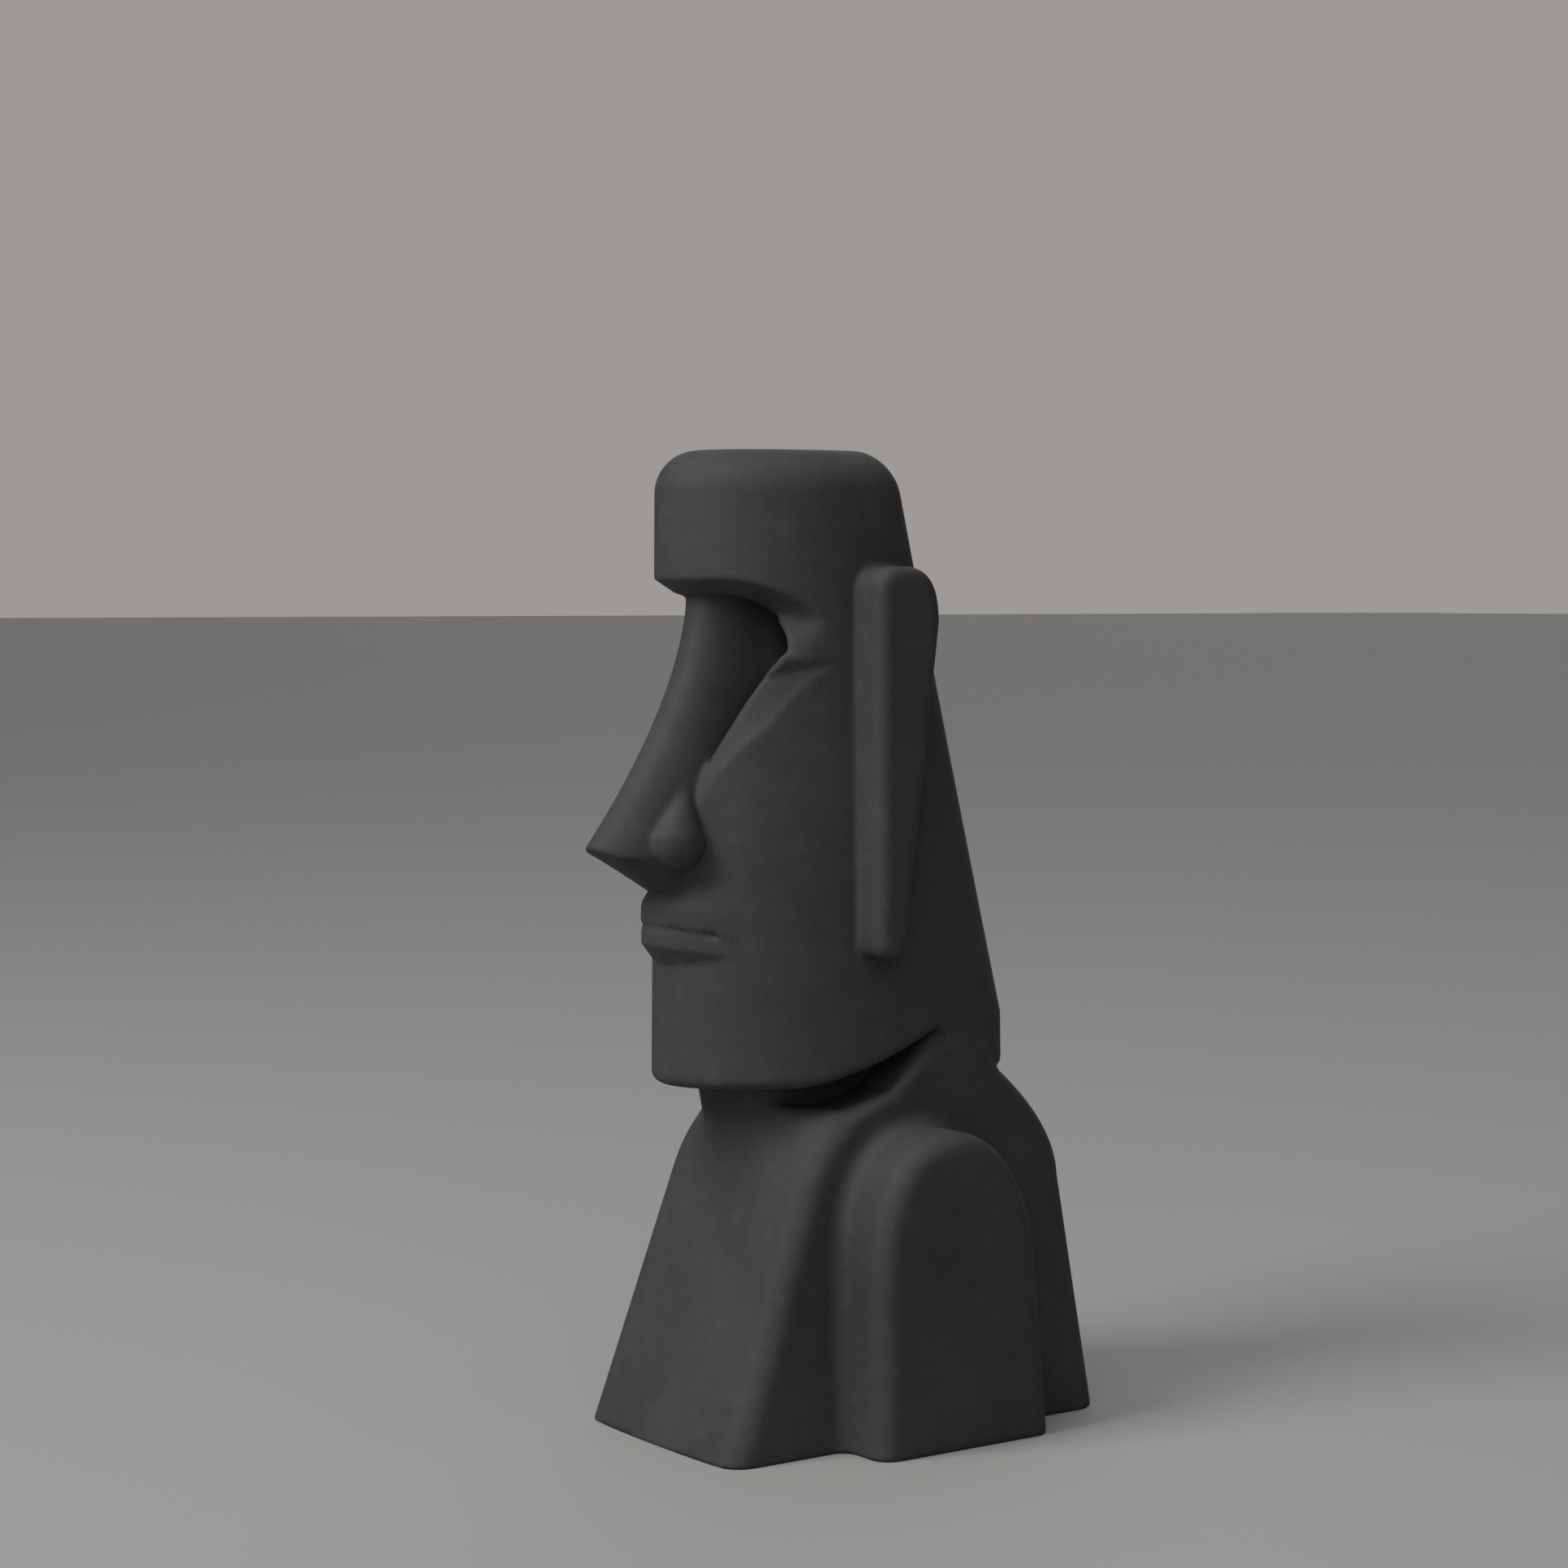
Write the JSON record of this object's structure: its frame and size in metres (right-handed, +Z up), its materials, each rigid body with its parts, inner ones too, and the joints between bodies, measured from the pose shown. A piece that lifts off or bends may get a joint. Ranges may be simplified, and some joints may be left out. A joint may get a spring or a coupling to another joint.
{
  "type": "moai figure",
  "caption": "Small matte charcoal copy of a moai: long head with a heavy brow, long nose and ears, above a sloping chest and arms at the sides.",
  "frame": {"origin": "centre of the bounding box on the underside, on the surface that the figure stands on", "axes": "+Z up the figure, -Y the way the face looks, +X towards the figure's own left ear"},
  "size_m": [0.0472, 0.0662, 0.12],
  "materials": {
    "charcoal": "matte, a little rough, dark charcoal grey"
  },
  "bodies": {
    "root": {"moai_figure": "charcoal"}
  },
  "joints": []
}
